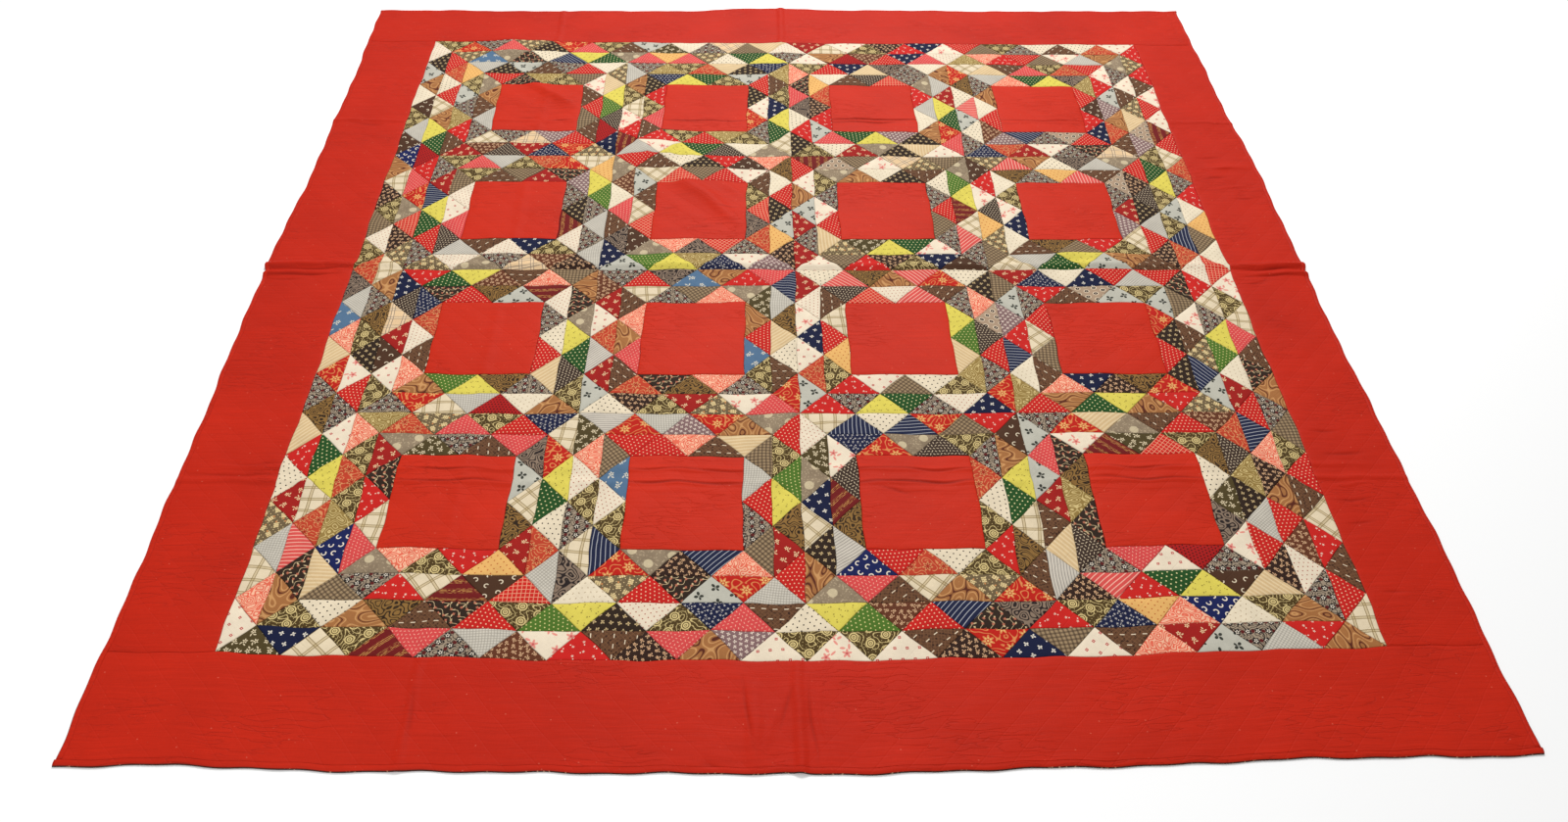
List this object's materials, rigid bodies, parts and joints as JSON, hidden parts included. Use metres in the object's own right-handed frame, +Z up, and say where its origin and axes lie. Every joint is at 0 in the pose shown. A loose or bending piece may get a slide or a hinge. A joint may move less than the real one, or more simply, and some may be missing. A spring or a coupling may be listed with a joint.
{
  "type": "patchwork quilt",
  "caption": "Cotton quilt lying flat: blocks of small pieced triangles round plain squares, a pieced frame, a wide plain border and a narrow binding, with soft fold creases.",
  "frame": {"origin": "on the floor, under the middle of the quilt's outline", "axes": "+X to the right and +Y away from the viewer along the quilt's sides, +Z up from the floor"},
  "size_m": [2.1426, 2.1848, 0.0132],
  "materials": {
    "plain_red_cotton": "plain woven turkey-red cotton, matt, faintly puckered by its quilting",
    "printed_cotton_patches": "triangles of many small-figured printed cottons, pieced",
    "red_binding_cotton": "narrow folded plain red cotton, a little worn along its edge"
  },
  "bodies": {
    "root": {"block_r1_c1": "printed_cotton_patches", "block_r1_c2": "printed_cotton_patches", "block_r1_c3": "printed_cotton_patches", "block_r1_c4": "printed_cotton_patches", "block_r2_c1": "printed_cotton_patches", "block_r2_c2": "printed_cotton_patches", "block_r2_c3": "printed_cotton_patches", "block_r2_c4": "printed_cotton_patches", "block_r3_c1": "printed_cotton_patches", "block_r3_c2": "printed_cotton_patches", "block_r3_c3": "printed_cotton_patches", "block_r3_c4": "printed_cotton_patches", "block_r4_c1": "printed_cotton_patches", "block_r4_c2": "printed_cotton_patches", "block_r4_c3": "printed_cotton_patches", "block_r4_c4": "printed_cotton_patches", "square_r1_c1": "plain_red_cotton", "square_r1_c2": "plain_red_cotton", "square_r1_c3": "plain_red_cotton", "square_r1_c4": "plain_red_cotton", "square_r2_c1": "plain_red_cotton", "square_r2_c2": "plain_red_cotton", "square_r2_c3": "plain_red_cotton", "square_r2_c4": "plain_red_cotton", "square_r3_c1": "plain_red_cotton", "square_r3_c2": "plain_red_cotton", "square_r3_c3": "plain_red_cotton", "square_r3_c4": "plain_red_cotton", "square_r4_c1": "plain_red_cotton", "square_r4_c2": "plain_red_cotton", "square_r4_c3": "plain_red_cotton", "square_r4_c4": "plain_red_cotton", "frame_far": "printed_cotton_patches", "frame_near": "printed_cotton_patches", "frame_left": "printed_cotton_patches", "frame_right": "printed_cotton_patches", "border_far": "plain_red_cotton", "border_near": "plain_red_cotton", "border_left": "plain_red_cotton", "border_right": "plain_red_cotton", "binding_far": "red_binding_cotton", "binding_near": "red_binding_cotton", "binding_left": "red_binding_cotton", "binding_right": "red_binding_cotton"}
  },
  "joints": []
}
